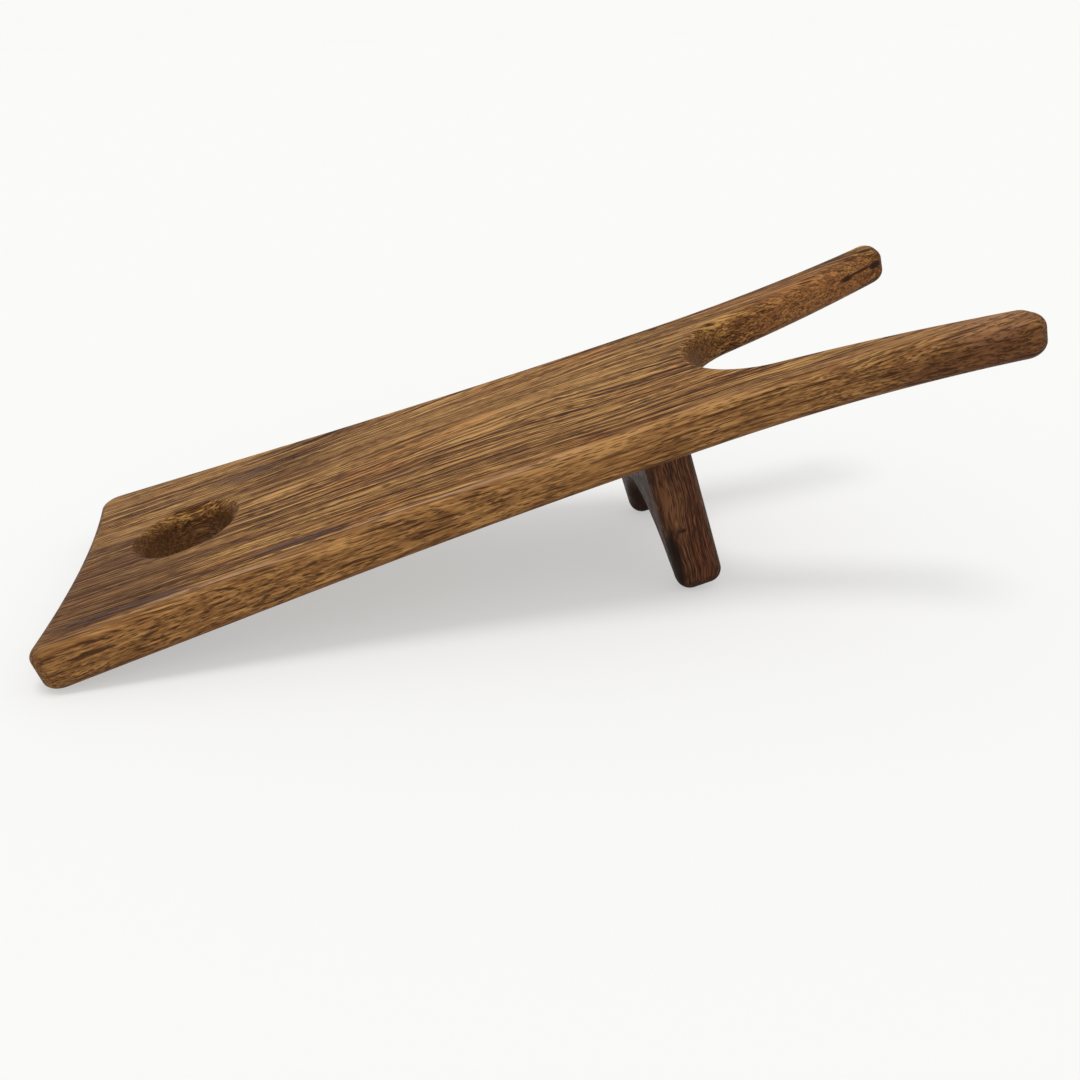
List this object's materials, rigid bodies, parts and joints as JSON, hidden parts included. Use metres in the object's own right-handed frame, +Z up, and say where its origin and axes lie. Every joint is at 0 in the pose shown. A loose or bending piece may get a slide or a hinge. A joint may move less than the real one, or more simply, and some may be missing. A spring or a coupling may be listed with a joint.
{
  "type": "boot jack",
  "caption": "Free-standing wooden boot jack: a waisted lever board with a heel notch between rounded prongs and a round hang hole, propped on an arched cross leg.",
  "frame": {"origin": "on the floor, under the middle of the bounding box", "axes": "+X along the length, from the low rear end to the raised prongs; +Y across it; +Z up"},
  "size_m": [0.4372, 0.1744, 0.1336],
  "materials": {
    "board_wood": "oiled, satin, straight dark grain lines",
    "leg_wood": "oiled, satin, darker heartwood",
    "dowel_wood": "bare, glued in"
  },
  "bodies": {
    "root": {"board": "board_wood", "leg_block": "leg_wood", "leg_dowel_1": "dowel_wood", "leg_dowel_2": "dowel_wood", "leg_dowel_3": "dowel_wood", "leg_dowel_4": "dowel_wood"}
  },
  "joints": []
}
